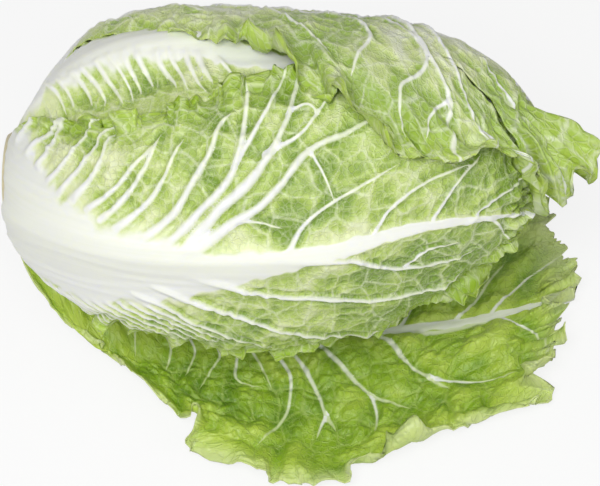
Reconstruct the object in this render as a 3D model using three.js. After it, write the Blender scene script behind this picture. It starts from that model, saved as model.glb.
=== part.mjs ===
// A napa cabbage lying on its side: a cut stump with a conical core, a closed heart bud, and the leaves that
// wrap round them in a golden-angle spiral. The oldest leaf has come away from the head and lies spread on the
// surface underneath it. Millimetres, +Z up, +X from the stump towards the leaf tips.
//
// A place in the head is a triple (s, theta, level). s runs from 0, where the leaf bases leave the core, to 1 at
// the tip of the head. theta is the angle round the head's axis, 0 at the top and positive towards -Y. level is
// 0 on the axis and 1 on the barrel-shaped outside of the head, so surfaces of different level never cross.
import * as THREE from "three";

// Driving dimensions of the head.
const HEAD_LENGTH = 285;
const HEAD_RADIUS = 90;
const BASE_POWER = 2.4; // of the superellipse: 2 would be an ellipse, more is squarer
const TIP_POWER = 2.1;
const CORE_RADIUS = 27; // where the outermost leaves leave the core
const CORE_TOP_X = 62;
const HEART_TIP_X = 238;
const HEART_LEVEL = 0.24;
const FLATTENING = 0.05; // share of the radius lost where the head's own weight presses on its underside
const FLAT_ANGLE = 40;
const TIP_BEND = new THREE.Vector3(0, 9, 6); // how far the tip of the head bends away from its axis
const ORIGIN_X = 150; // distance of the origin from the base of the head

// Leaves.
const LEAF_COUNT = 22;
const GOLDEN_ANGLE = 137.5;
const OLDEST_LEAF_ANGLE = 147;
const BLADE_THICKNESS = 2.2;
const RIB_THICKNESS = 8;
const RIB_WIDTH = 26; // half-width of the white rib at the leaf's base
const RIB_TIP_WIDTH = 4;
const LEAF_GAP = 2.4; // air between one leaf and the next
const BASE_CUT = 0.75; // length of the tapering lower part of a leaf, where its rounded upper part is 1
const OUTLINE_POWER = 3; // roundness of the upper part: 2 is a half disc, more is fuller
const FULL_OUTLINE_POWER = 6; // that of the top leaf and the spread leaf, whose tips are broad
const FLARE = 22; // how far the lobe at the tip of the top leaf springs out from the head
const TOP_COLUMNS = 18; // steps across the top leaf
const TEAR_COLUMN = 14; // the one along which it is torn
const TEAR_Q = (2 * TEAR_COLUMN) / TOP_COLUMNS - 1;
const TOP_ROWS = 20; // steps along the top leaf
const TEAR_ROW = 15; // the one where the tear starts
const TEAR_FROM = -BASE_CUT + ((1 + BASE_CUT) * TEAR_ROW) / TOP_ROWS;
const TEAR_LINE = [0.47, 0.94]; // where the tear lies across the leaf, at its start and at the tip
const TEAR_OPENING = 8; // how far it gapes at the tip, in degrees
const TOP_CLEARANCE = 0.5; // how far the torn leaf stands off the others

// The spread leaf, by points along its midrib: distance from the base of the head, distance in front of the
// head's axis, width of the blade in front of the midrib and width behind it.
const SPREAD_POINTS = [
  [0, 6, 14, 14],
  [50, 32, 22, 28],
  [100, 44, 60, 72],
  [150, 48, 82, 100],
  [200, 44, 76, 98],
  [250, 32, 63, 80],
  [308, 14, 68, 70],
];
const SPREAD_BLADE = 2.4;
const SPREAD_RIB = 4.5;
const SPREAD_WAVE = 7; // height of the waves in its margin, in front of the head
const REST_CLEARANCE = 1;

const DEG = Math.PI / 180;
const lerp = THREE.MathUtils.lerp;
const clamp = THREE.MathUtils.clamp;
const smooth = (x, from, to) => THREE.MathUtils.smoothstep(x, from, to);
const wrapAngle = (a) => a - 360 * Math.round(a / 360);

// ---- The barrel: a superellipse from the core's edge to the tip, by length along it ----

function barrelCurve(samples = 600) {
  const half = HEAD_LENGTH / 2;
  const first = Math.asin((CORE_RADIUS / HEAD_RADIUS) ** (BASE_POWER / 2));
  const points = [];
  let length = 0;
  for (let i = 0; i <= samples; i++) {
    const a = lerp(first, Math.PI, i / samples);
    const power = 2 / (a < Math.PI / 2 ? BASE_POWER : TIP_POWER);
    const along = Math.sign(Math.cos(a)) * Math.abs(Math.cos(a)) ** power;
    const x = half * (1 - along);
    const r = HEAD_RADIUS * Math.max(Math.sin(a), 0) ** power;
    if (i) length += Math.hypot(x - points[i - 1].x, r - points[i - 1].r);
    points.push({ x, r, length });
  }
  return points;
}

const BARREL = barrelCurve();
const BARREL_LENGTH = BARREL[BARREL.length - 1].length;

function barrelAt(s) {
  const wanted = clamp(s, 0, 1) * BARREL_LENGTH;
  let low = 0;
  let high = BARREL.length - 1;
  while (high - low > 1) {
    const middle = (low + high) >> 1;
    if (BARREL[middle].length > wanted) high = middle;
    else low = middle;
  }
  const a = BARREL[low];
  const b = BARREL[high];
  const t = (wanted - a.length) / (b.length - a.length);
  return { x: lerp(a.x, b.x, t), r: lerp(a.r, b.r, t) };
}

const axisX = (s) => lerp(CORE_TOP_X, HEART_TIP_X, s);

// The length that one whole level covers at s.
function levelSize(s) {
  const outer = barrelAt(s);
  return Math.hypot(outer.x - axisX(s), outer.r);
}

// The head's section: round, a little squared by the ribs, and pressed flat underneath.
function section(theta) {
  const below = wrapAngle(theta - 180) / FLAT_ANGLE;
  return 1 - FLATTENING * Math.exp(-below * below) + 0.012 * Math.cos(3 * (theta - 62) * DEG);
}

// The middle of the head at a distance x from its base.
const bentAxis = (x) => TIP_BEND.clone().multiplyScalar(smooth(x, 120, HEAD_LENGTH));

function headPoint(s, theta, level, axisHeight) {
  const outer = barrelAt(s);
  const x = lerp(axisX(s), outer.x, level);
  const r = level * outer.r * section(theta);
  const round = new THREE.Vector3(x - ORIGIN_X, -r * Math.sin(theta * DEG), r * Math.cos(theta * DEG));
  return round.add(bentAxis(x)).setZ(round.z + axisHeight);
}

// ---- Leaves ----

// A number between evenly spaced ones, on a smooth curve through them.
function spline(values, t) {
  const curve = new THREE.SplineCurve(values.map((value, i) => new THREE.Vector2(i, value)));
  return curve.getPoint(clamp(t, 0, 1)).y;
}

// Each leaf counts inwards from the oldest. up and down are the angles that its blade covers to either side of
// its midrib, towards -theta and towards +theta, at evenly spaced places from its base to its tip.
function leafAt(index) {
  const inner = {
    name: `inner_leaf_${String(index).padStart(2, "0")}`,
    up: [40, 72, 88, 92, 92],
    down: [40, 72, 88, 92, 92],
    tip: 0.965,
    turn: 0, baseTurn: 0,
    wave: 0,
    rows: 10,
    columns: index > 12 ? 8 : 10,
  };
  const outer = {
    1: { name: "top_leaf", up: [36, 60, 72, 78, 80], down: [12, 27, 44, 57, 72, 88, 92, 100, 200], tip: 0.95, turn: 35, baseTurn: -22, wave: 1.6 },
    2: { name: "front_leaf", up: [44, 54, 74, 78, 78], down: [60, 54, 52, 54, 58], tip: 0.94, wave: 1.4 },
    3: { name: "underside_leaf", up: [44, 68, 78, 80, 80], down: [44, 68, 78, 80, 80], tip: 0.95, wave: 1 },
    4: { name: "upper_leaf", up: [48, 68, 82, 84, 84], down: [44, 64, 74, 76, 76], tip: 0.95, wave: 1 },
  }[index];
  const size = { 1: [TOP_ROWS, TOP_COLUMNS], 2: [18, 16], 3: [14, 12], 4: [14, 12] }[index];
  return {
    ...inner,
    ...outer,
    ...(size && { rows: size[0], columns: size[1] }),
    angle: wrapAngle(OLDEST_LEAF_ANGLE + index * GOLDEN_ANGLE),
    first: 0.006,
  };
}

const lengthOf = (leaf, s) => (s - leaf.first) / (leaf.tip - leaf.first);

// Where a leaf's midrib lies round the head at s: it may turn aside towards its tip and at its base.
function angleAt(leaf, s) {
  const t = lengthOf(leaf, s);
  return leaf.angle + leaf.turn * smooth(t, 0.5, 1) + leaf.baseTurn * (1 - smooth(t, 0, 0.3));
}

// The angle that a leaf's blade covers at s on one side, before the upper part is rounded off.
const reachAt = (leaf, s, side) => spline(side < 0 ? leaf.up : leaf.down, lengthOf(leaf, s));

// A leaf's outline: p runs up from -BASE_CUT at the base to 1 at the tip and q from -1 to 1 across. The upper
// part is rounded into across and along, the lower part is left as it is.
function outlinePoint(p, q, power = OUTLINE_POWER) {
  const rounding = (x) => (1 - (x * x) / 2) ** (1 / power);
  return p < 0 ? { across: q, along: p } : { across: q * rounding(p), along: p * rounding(q) };
}

// 0 on the midrib below the widest place, 1 on the outline.
function outlineDistance(across, along) {
  const up = Math.max(along, 0) ** OUTLINE_POWER;
  return (Math.abs(across) ** OUTLINE_POWER + up) ** (1 / OUTLINE_POWER);
}

const alongOf = (leaf, s) => -BASE_CUT + ((1 + BASE_CUT) * (s - leaf.first)) / (leaf.tip - leaf.first);
const sOf = (leaf, along) => leaf.first + ((leaf.tip - leaf.first) * (along + BASE_CUT)) / (1 + BASE_CUT);

// The leaf's thickness in millimetres, thickest down the middle of its rib.
function leafThickness(leaf, s, offset) {
  const t = clamp(lengthOf(leaf, s), 0, 1);
  const width = RIB_WIDTH * (1 - t) ** 2 + RIB_TIP_WIDTH;
  const arc = (offset * DEG * (barrelAt(s).r + CORE_RADIUS)) / width;
  return BLADE_THICKNESS + RIB_THICKNESS * (1 - t) ** 1.4 * Math.exp(-arc * arc);
}

// ---- The packing: how the leaves lie on each other ----

const ROWS = 48;
const COLUMNS = 90;
const rowS = (row) => row / ROWS;
const columnTheta = (column) => (column * 360) / COLUMNS;
const cell = (row, column) => clamp(row, 0, ROWS) * COLUMNS + ((column + COLUMNS) % COLUMNS);

// The places around a cell, to reach rows and columns away, passed to use as cell numbers.
function around(row, column, rows, columns, use) {
  for (let i = -rows; i <= rows; i++) for (let j = -columns; j <= columns; j++) use(cell(row + i, column + j));
}

function eachCell(use) {
  for (let row = 0; row <= ROWS; row++) for (let column = 0; column < COLUMNS; column++) use(row, column);
}

// A leaf keeps clear of the margins under it and bridges the hollows between them.
function bridged(surface, passes = 5) {
  const raised = surface.slice();
  eachCell((row, column) => {
    const k = cell(row, column);
    around(row, column, 1, 3, (other) => (raised[k] = Math.max(raised[k], surface[other])));
  });
  let now = raised;
  for (let pass = 0; pass < passes; pass++) {
    const next = now.slice();
    eachCell((row, column) => {
      let sum = 0;
      around(row, column, 1, 1, (other) => (sum += now[other]));
      next[cell(row, column)] = Math.max(surface[cell(row, column)], sum / 9);
    });
    now = next;
  }
  return now;
}

// Lays the leaves from the innermost outwards. squeeze scales what each adds, row by row.
function pack(leaves, squeeze) {
  let surface = new Float64Array((ROWS + 1) * COLUMNS).fill(HEART_LEVEL);
  const beds = new Map();
  for (const leaf of leaves) {
    const bed = bridged(surface);
    const next = surface.slice();
    for (let row = 0; row <= ROWS; row++) {
      const s = rowS(row);
      const unit = squeeze[row] / levelSize(s);
      const along = alongOf(leaf, s);
      for (let column = 0; column < COLUMNS; column++) {
        const offset = wrapAngle(columnTheta(column) - angleAt(leaf, s));
        const across = offset / reachAt(leaf, s, offset);
        const covered = 1 - smooth(outlineDistance(across, along), 1, 1.25);
        const k = cell(row, column);
        const added = (LEAF_GAP + leafThickness(leaf, s, offset)) * unit;
        if (covered > 0) next[k] = Math.max(next[k], bed[k] + added * covered);
      }
    }
    beds.set(leaf.name, bed);
    surface = next;
  }
  return { beds, surface };
}

// The squeeze that makes the packed head fill the barrel on average.
function squeezeFor(leaves) {
  const loose = pack(leaves, new Array(ROWS + 1).fill(1)).surface;
  return Array.from({ length: ROWS + 1 }, (_, row) => {
    const mean = loose.slice(cell(row, 0), cell(row, 0) + COLUMNS).reduce((a, b) => a + b) / COLUMNS;
    return (1 - HEART_LEVEL) / (mean - HEART_LEVEL);
  });
}

function sampled(surface, s, theta) {
  const row = clamp(s, 0, 1) * ROWS;
  const column = ((((theta % 360) + 360) % 360) * COLUMNS) / 360;
  const i = Math.min(Math.floor(row), ROWS - 1);
  const j = Math.floor(column);
  const low = lerp(surface[cell(i, j)], surface[cell(i, j + 1)], column - j);
  const high = lerp(surface[cell(i + 1, j)], surface[cell(i + 1, j + 1)], column - j);
  return lerp(low, high, row - i);
}

const headLeaves = Array.from({ length: LEAF_COUNT - 1 }, (_, i) => leafAt(LEAF_COUNT - 1 - i));
const squeeze = squeezeFor(headLeaves);
const packed = pack(headLeaves, squeeze);

function squeezeAt(s) {
  const row = clamp(s, 0, 1) * ROWS;
  const i = Math.min(Math.floor(row), ROWS - 1);
  return lerp(squeeze[i], squeeze[i + 1], row - i);
}

// The head stands on the spread leaf.
function lowestRadius() {
  let lowest = 0;
  for (let row = 0; row <= ROWS; row++)
    for (let column = 0; column < COLUMNS; column++) {
      const theta = columnTheta(column);
      const r = packed.surface[cell(row, column)] * barrelAt(rowS(row)).r * section(theta);
      lowest = Math.max(lowest, -r * Math.cos(theta * DEG));
    }
  return lowest;
}

const AXIS_HEIGHT = lowestRadius() + SPREAD_BLADE + SPREAD_RIB + REST_CLEARANCE;

// ---- Solids ----

// A closed solid from two sheets with the same faces: the outer sheet, the inner one and a rim round the edge.
function thickSheet(outer, inner, faces) {
  const count = outer.length;
  const index = [];
  const edges = new Map();
  for (const face of faces) {
    for (const [a, b, c] of [
      [face[0], face[1], face[2]],
      [face[0], face[2], face[3]],
    ]) {
      index.push(a, b, c, count + a, count + c, count + b);
      for (const [from, to] of [
        [a, b],
        [b, c],
        [c, a],
      ]) {
        if (!edges.delete(`${to} ${from}`)) edges.set(`${from} ${to}`, [from, to]);
      }
    }
  }
  for (const [from, to] of edges.values()) index.push(to, from, count + from, to, count + from, count + to);
  const geometry = new THREE.BufferGeometry().setFromPoints([...outer, ...inner]);
  geometry.setIndex(index);
  geometry.computeVertexNormals();
  return geometry;
}

// A leaf's grid of (p, q) places and its faces. A tear splits the blade along one column, from a row to the edge.
function leafGrid(rows, columns, tear) {
  const places = [];
  const faces = [];
  const number = new Map();
  const place = (i, j, side) => {
    const split = tear && j === tear.column && i > tear.row;
    const key = `${i} ${j} ${split ? side : 0}`;
    if (!number.has(key)) {
      const above = tear && (j < tear.column || (split && side < 0));
      number.set(key, places.length);
      places.push({ p: lerp(-BASE_CUT, 1, i / rows), q: (2 * j) / columns - 1, above });
    }
    return number.get(key);
  };
  for (let i = 0; i < rows; i++)
    for (let j = 0; j < columns; j++)
      faces.push([place(i, j, 1), place(i, j + 1, -1), place(i + 1, j + 1, -1), place(i + 1, j, 1)]);
  return { places, faces };
}

// Waves along a leaf's margin, 0 in the middle of the blade.
function marginWave(across, along, height, count) {
  const edge = smooth(outlineDistance(across, along), 0.7, 1);
  return height * edge * (1 + Math.sin(count * Math.atan2(across, along + BASE_CUT)));
}

// The tear of the top leaf runs aslant to the lower margin, and the steps across the leaf are drawn towards it.
const tearLine = (p) => lerp(TEAR_LINE[0], TEAR_LINE[1], smooth(p, 0.52, 1));

function drawnToTear(p, q) {
  const line = tearLine(p);
  return q <= TEAR_Q ? -1 + ((q + 1) * (line + 1)) / (TEAR_Q + 1) : 1 - ((1 - q) * (1 - line)) / (1 - TEAR_Q);
}

// How the lobe above the tear lies: turned aside in degrees, which opens the tear, and lifted from the head.
function lobeShift(p, q) {
  const line = tearLine(p);
  const grow = clamp((p - TEAR_FROM) / (1 - TEAR_FROM), 0, 1);
  return {
    aside: -TEAR_OPENING * grow * smooth(q, line - 0.3, line),
    lift: FLARE * smooth(p, 0.78, 1) * smooth(q, 0.2, 0.5) * (1 - 0.7 * smooth(q, 0.7, 0.94)),
  };
}

function headLeafGeometry(leaf) {
  const torn = leaf.name === "top_leaf";
  const { places, faces } = leafGrid(leaf.rows, leaf.columns, torn && { column: TEAR_COLUMN, row: TEAR_ROW });
  const bed = packed.beds.get(leaf.name);
  const outer = [];
  const inner = [];
  for (const { p, q, above } of places) {
    const drawn = torn ? drawnToTear(p, q) : q;
    const shift = above ? lobeShift(p, drawn) : { aside: 0, lift: 0 };
    const { across, along } = outlinePoint(p, drawn, torn ? FULL_OUTLINE_POWER : OUTLINE_POWER);
    const s = sOf(leaf, along);
    const offset = across * reachAt(leaf, s, across) + shift.aside;
    const theta = angleAt(leaf, s) + offset;
    const unit = 1 / levelSize(s);
    const lift = marginWave(across, along, leaf.wave, 9) + shift.lift + (torn ? TOP_CLEARANCE : 0);
    const low = sampled(bed, s, theta) + LEAF_GAP * unit * squeezeAt(s) + lift * unit;
    const high = low + leafThickness(leaf, s, offset) * unit * squeezeAt(s);
    outer.push(headPoint(s, theta, high, AXIS_HEIGHT));
    inner.push(headPoint(s, theta, low, AXIS_HEIGHT));
  }
  return thickSheet(outer, inner, faces);
}

// The spread leaf follows the base of the head from the stump and then turns down onto the surface.
function spreadLeafGeometry() {
  const { places, faces } = leafGrid(22, 18);
  const headLength = 0.95;
  const outer = [];
  const inner = [];
  for (const { p, q } of places) {
    const { across, along } = outlinePoint(p, q, FULL_OUTLINE_POWER);
    const t = (along + BASE_CUT) / (1 + BASE_CUT);
    const [x, front, frontWidth, backWidth] = [0, 1, 2, 3].map((column) =>
      spline(SPREAD_POINTS.map((point) => point[column]), t),
    );
    const width = across < 0 ? frontWidth : backWidth;
    const rib = SPREAD_RIB * (1 - t) ** 0.8 * Math.exp(-((across / 0.12) ** 2));
    const thickness = SPREAD_BLADE + rib;
    const free = smooth(t, 0.15, 0.4) * (1 - smooth(across, -0.3, 0.4));
    const lift = (marginWave(across, along, SPREAD_WAVE, 11) * free) / 2;
    const laid = new THREE.Vector3(x - ORIGIN_X, across * width - front, lift);

    const s = 0.006 + t * headLength;
    const unit = 1 / levelSize(s);
    const theta = OLDEST_LEAF_ANGLE + 18 + across * (14 + 20 * smooth(t, 0.03, 0.15));
    const level = 1.02 + 3 * unit;
    const towardsFront = smooth(-across, 0, 0.9);
    const onTable = smooth(t, 0.08 - 0.07 * towardsFront, 0.34 - 0.18 * towardsFront);
    const low = headPoint(s, theta, level + thickness * unit, AXIS_HEIGHT).lerp(laid, onTable);
    const high = headPoint(s, theta, level, AXIS_HEIGHT).lerp(laid.clone().setZ(lift + thickness), onTable);
    low.z = Math.max(low.z, 0);
    outer.push(low);
    inner.push(high);
  }
  return thickSheet(outer, inner, faces);
}

// A body of revolution about the head's axis, from points [x, r] that start and end on the axis.
function turned(profile, segments) {
  const points = profile.map(([x, r]) => new THREE.Vector2(r, x));
  const geometry = new THREE.LatheGeometry(points, segments);
  geometry.rotateZ(-Math.PI / 2);
  const places = geometry.getAttribute("position");
  const point = new THREE.Vector3();
  for (let i = 0; i < places.count; i++) {
    point.fromBufferAttribute(places, i);
    point.add(bentAxis(point.x));
    places.setXYZ(i, point.x - ORIGIN_X, point.y, point.z + AXIS_HEIGHT);
  }
  return geometry;
}

// The core is the cone from which every leaf springs; the stump is its cut end.
function stumpGeometry() {
  const edge = barrelAt(0);
  const heartBase = [lerp(CORE_TOP_X, edge.x, HEART_LEVEL), edge.r * HEART_LEVEL];
  const cutX = edge.x - 3;
  const profile = [
    [cutX + 0.8, 0],
    [cutX, CORE_RADIUS - 5],
    [cutX + 0.8, CORE_RADIUS - 1],
    [edge.x - 0.4, CORE_RADIUS],
    heartBase,
    [heartBase[0], 0],
  ];
  return turned(profile, 28);
}

function heartGeometry() {
  const stations = [0.012, 0.06, 0.14, 0.26, 0.42, 0.58, 0.72, 0.84, 0.93, 0.98];
  const profile = stations.map((s) => {
    const outer = barrelAt(s);
    return [lerp(axisX(s), outer.x, HEART_LEVEL), outer.r * HEART_LEVEL];
  });
  const tip = [lerp(HEART_TIP_X, HEAD_LENGTH, HEART_LEVEL), 0];
  return turned([[profile[0][0], 0], ...profile, tip], 16);
}

// ---- The cabbage ----

const finish = {
  stump: new THREE.MeshStandardMaterial({ color: "#e9e6d2", roughness: 0.75 }),
  heart: new THREE.MeshStandardMaterial({ color: "#eef0c4", roughness: 0.55 }),
  inner: new THREE.MeshStandardMaterial({ color: "#dfe7b0", roughness: 0.5 }),
  outer: new THREE.MeshStandardMaterial({ color: "#c2cf93", roughness: 0.45 }),
  spread: new THREE.MeshStandardMaterial({ color: "#94ad45", roughness: 0.45 }),
};

function named(name, geometry, material) {
  const mesh = new THREE.Mesh(geometry, material);
  mesh.name = name;
  return mesh;
}

const cabbage = new THREE.Group();
cabbage.add(named("stump", stumpGeometry(), finish.stump));
cabbage.add(named("heart", heartGeometry(), finish.heart));
for (const leaf of headLeaves) {
  const material = leaf.name.startsWith("inner") ? finish.inner : finish.outer;
  cabbage.add(named(leaf.name, headLeafGeometry(leaf), material));
}
cabbage.add(named("spread_leaf", spreadLeafGeometry(), finish.spread));

export default cabbage;
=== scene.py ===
import math

import bpy
import numpy as np
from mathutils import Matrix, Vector


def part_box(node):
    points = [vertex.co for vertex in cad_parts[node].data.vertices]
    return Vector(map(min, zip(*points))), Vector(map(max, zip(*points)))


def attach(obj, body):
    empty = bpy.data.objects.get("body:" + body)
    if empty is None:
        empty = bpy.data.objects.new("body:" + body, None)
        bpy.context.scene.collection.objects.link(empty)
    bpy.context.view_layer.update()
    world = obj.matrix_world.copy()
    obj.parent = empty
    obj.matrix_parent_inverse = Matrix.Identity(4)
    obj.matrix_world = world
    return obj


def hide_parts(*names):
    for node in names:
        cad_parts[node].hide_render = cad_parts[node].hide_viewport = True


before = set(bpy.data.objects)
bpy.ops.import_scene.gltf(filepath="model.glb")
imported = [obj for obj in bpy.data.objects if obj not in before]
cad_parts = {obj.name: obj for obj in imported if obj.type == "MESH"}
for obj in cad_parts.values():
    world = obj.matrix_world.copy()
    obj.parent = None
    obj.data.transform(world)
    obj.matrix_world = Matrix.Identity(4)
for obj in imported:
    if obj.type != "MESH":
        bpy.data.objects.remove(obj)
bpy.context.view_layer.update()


# ---- Stump ----
# The short core of the head, where it was cut from the root: firm white flesh in a thin greenish skin. The
# knife left its end flat and moist, a little browned, with a paler pith inside a faint ring of vessels.

# Everything is worked out in millimetres and put into the scene in metres.
MM = 0.001


def linear(colour):
    """The linear colour of an sRGB hex value."""
    parts = [int(colour[i : i + 2], 16) / 255 for i in (1, 3, 5)]
    return (*((c / 12.92 if c <= 0.04045 else ((c + 0.055) / 1.055) ** 2.4) for c in parts), 1.0)


def add(material, kind, settings=(), **sockets):
    """Adds a node of that kind. settings are its properties. sockets are its inputs by name, with _ for a
    space, or by number as in n0, each a plain value, another node's output, or a node, for the first output
    that it has."""
    node = material.node_tree.nodes.new("ShaderNode" + kind)
    for key, value in dict(settings).items():
        setattr(node, key, value)
    for key, value in sockets.items():
        socket = node.inputs[int(key[1:]) if key[1:].isdigit() else key.replace("_", " ")]
        if isinstance(value, bpy.types.Node):
            value = next(output for output in value.outputs if output.enabled)
        if isinstance(value, bpy.types.NodeSocket):
            material.node_tree.links.new(value, socket)
        else:
            socket.default_value = value
    return node


def new_material(name):
    material = bpy.data.materials.new(name)
    material.use_nodes = True
    material.node_tree.nodes.clear()
    return material


def cut_stump(node):
    """Freshly cut cabbage core: moist, so it has a soft gloss, and cream with a darker ring and rim."""
    m = new_material("cut_stump")
    low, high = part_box(node)
    across, tall = (high[1] - low[1]) / 2, (high[2] - low[2]) / 2
    place = add(m, "TexCoord").outputs["Object"]
    centre = (0, (low[1] + high[1]) / 2, (low[2] + high[2]) / 2)
    out = add(m, "VectorMath", {"operation": "SUBTRACT"}, n0=place, n1=centre)
    out = add(m, "VectorMath", {"operation": "MULTIPLY"}, n0=out, n1=(0, 1 / across, 1 / tall))
    radius = add(m, "VectorMath", {"operation": "LENGTH"}, n0=out).outputs["Value"]
    # Blotches of about 5 mm break up the rings.
    blotch = add(m, "TexNoise", Vector=place, Scale=1 / (5 * MM), Detail=5.0)
    shift = add(m, "Math", {"operation": "MULTIPLY_ADD"}, n0=blotch, n1=0.16, n2=radius)
    rings = add(m, "ValToRGB", Fac=shift)
    stops = rings.color_ramp.elements
    stops[0].position, stops[0].color = 0.3, linear("#f1efdf")
    stops[1].position, stops[1].color = 1.0, linear("#c9bd94")
    for at, colour in ((0.62, "#e9e7cf"), (0.7, "#d3d3a4"), (0.78, "#ebe8d2"), (0.92, "#e2dcbc")):
        stops.new(at).color = linear(colour)
    flesh = add(m, "Mix", {"data_type": "RGBA"}, n0=blotch, n6=rings, n7=linear("#e4dcc0"))
    bump = add(m, "Bump", Height=blotch, Distance=0.4 * MM, Strength=0.6)
    wet = {"Roughness": 0.45, "IOR": 1.4}
    glow = {"Subsurface_Weight": 0.3, "Subsurface_Radius": (1.0, 0.9, 0.6), "Subsurface_Scale": 3 * MM}
    add(m, "OutputMaterial", Surface=add(m, "BsdfPrincipled", Base_Color=flesh, Normal=bump, **wet, **glow))
    return m


def finish_solid(node, material):
    """Gives a solid of the frame its finish."""
    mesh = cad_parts[node].data
    mesh.materials.clear()
    mesh.materials.append(material)


finish_solid("stump", cut_stump("stump"))


# ---- Heart and innermost leaves ----
# The leaves still folded tight round the growing point: pale yellow, since no light reaches them, and seen
# only as a gleam between the others. They grow from the top of the stump, each wrapped in the next.


def heart_leaf():
    """Young cabbage leaf grown in the dark: tender and moist, cream to pale yellow, softly blotched."""
    m = new_material("heart_leaf")
    place = add(m, "TexCoord").outputs["Object"]
    # 60 blotches to a metre are about 17 mm each, the size of the folds.
    blotch = add(m, "TexNoise", Vector=place, Scale=60.0, Detail=5.0)
    colour = add(m, "Mix", {"data_type": "RGBA"}, n0=blotch, n6=linear("#eef0c8"), n7=linear("#d3dc90"))
    bump = add(m, "Bump", Height=blotch, Distance=0.4 * MM, Strength=0.6)
    wet = {"Roughness": 0.45, "IOR": 1.45}
    glow = {"Subsurface_Weight": 0.3, "Subsurface_Radius": (1.0, 0.9, 0.5), "Subsurface_Scale": 2.5 * MM}
    add(m, "OutputMaterial", Surface=add(m, "BsdfPrincipled", Base_Color=colour, Normal=bump, **wet, **glow))
    return m


heart_flesh = heart_leaf()
for name in ("heart", *(f"inner_leaf_{index}" for index in range(13, 22))):
    finish_solid(name, heart_flesh)


# ---- Inner leaves ----
# The eight leaves under the outer ones, which show at the tip of the head, at its base and in the gaps:
# thin crisp blades on white ribs. Each grows from the stump a little over a third of a turn from the last
# and lies on those inside.

# The head is a barrel of leaves, the same shape as the frame's. Millimetres, angles in degrees. A place is
# (s, theta, level): s from the leaf bases (0) to the tip (1), theta round the axis from the top towards the
# front, level from the axis (0) to the outside (1).
HEAD_LENGTH = 285
HEAD_RADIUS = 90
CORE_RADIUS = 27
# How square the barrel's ends are.
BASE_POWER = 2.4
TIP_POWER = 2.1


def lerp(a, b, t):
    return a + (b - a) * t


def smooth(x, low, high):
    t = np.clip((x - low) / (high - low), 0, 1)
    return t * t * (3 - 2 * t)


def swell(x, middle, width):
    """1 at the middle, falling smoothly away on both sides."""
    return np.exp(-(((x - middle) / width) ** 2))


def wrap_angle(a):
    return a - 360 * np.floor(a / 360 + 0.5)


def spline(values, t):
    """A number between evenly spaced ones, on a smooth curve through them, for t from 0 to 1."""
    values = np.asarray(values, float)
    last = len(values) - 1
    place = np.clip(t, 0, 1) * last
    i = np.minimum(place.astype(int), last - 1)
    w = place - i
    a, b, c, d = (values[np.clip(i + k, 0, last)] for k in (-1, 0, 1, 2))
    slope_b, slope_c = (c - a) / 2, (d - b) / 2
    bend = 2 * b - 2 * c + slope_b + slope_c
    return bend * w**3 + (3 * c - 3 * b - 2 * slope_b - slope_c) * w**2 + slope_b * w + b


def barrel_curve(samples=600):
    """The barrel's outline from the leaf bases to the tip: x, radius and the length of the curve so far."""
    first = math.asin((CORE_RADIUS / HEAD_RADIUS) ** (BASE_POWER / 2))
    a = np.linspace(first, math.pi, samples + 1)
    power = np.where(a < math.pi / 2, 2 / BASE_POWER, 2 / TIP_POWER)
    along = np.sign(np.cos(a)) * np.abs(np.cos(a)) ** power
    x = HEAD_LENGTH / 2 * (1 - along)
    r = HEAD_RADIUS * np.maximum(np.sin(a), 0) ** power
    return x, r, np.concatenate([[0], np.cumsum(np.hypot(np.diff(x), np.diff(r)))])


BARREL_X, BARREL_R, BARREL_S = barrel_curve()
BARREL_LENGTH = BARREL_S[-1]
BARREL_S = BARREL_S / BARREL_LENGTH
# Where the axis that the levels are measured from starts and ends.
CORE_TOP_X = 62
HEART_TIP_X = 238
# The head lies a little flat on its lower side, over this angle each way, and is faintly three-sided.
FLATTENING = 0.05
FLAT_ANGLE = 40
THREE_SIDED = 0.012
# From this x on its tip bends back and up.
BEND_FROM_X = 120
TIP_BACK = 9
TIP_UP = 6
# The x of the frame's origin.
ORIGIN_X = 150


def barrel_x(s):
    return np.interp(s, BARREL_S, BARREL_X)


def barrel_r(s):
    return np.interp(s, BARREL_S, BARREL_R)


def axis_x(s):
    return lerp(CORE_TOP_X, HEART_TIP_X, s)


def level_size(s):
    """The length in millimetres that one whole level covers at s."""
    return np.hypot(barrel_x(s) - axis_x(s), barrel_r(s))


def section(theta):
    """The head's radius at theta, as a share of the barrel's."""
    flat = FLATTENING * swell(wrap_angle(theta - 180), 0, FLAT_ANGLE)
    return 1 - flat + THREE_SIDED * np.cos(np.radians(3 * (theta - 62)))


def head_point(s, theta, level, axis_height):
    x = lerp(axis_x(s), barrel_x(s), level)
    r = level * barrel_r(s) * section(theta)
    bend = smooth(x, BEND_FROM_X, HEAD_LENGTH)
    a = np.radians(theta)
    y = bend * TIP_BACK - r * np.sin(a)
    return np.stack([x - ORIGIN_X, y, axis_height + bend * TIP_UP + r * np.cos(a)], -1)


# The leaves of the head, counted inwards from the oldest: how many degrees they cover on each side of the
# midrib, at even steps along them; where their tips lie; and how far the midrib turns aside at the tip and
# at the base.
LEAF_COUNT = 22
GOLDEN_ANGLE = 137.5
OLDEST_LEAF_ANGLE = 147
# The s from which the leaves are drawn.
FIRST = 0.006
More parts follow.
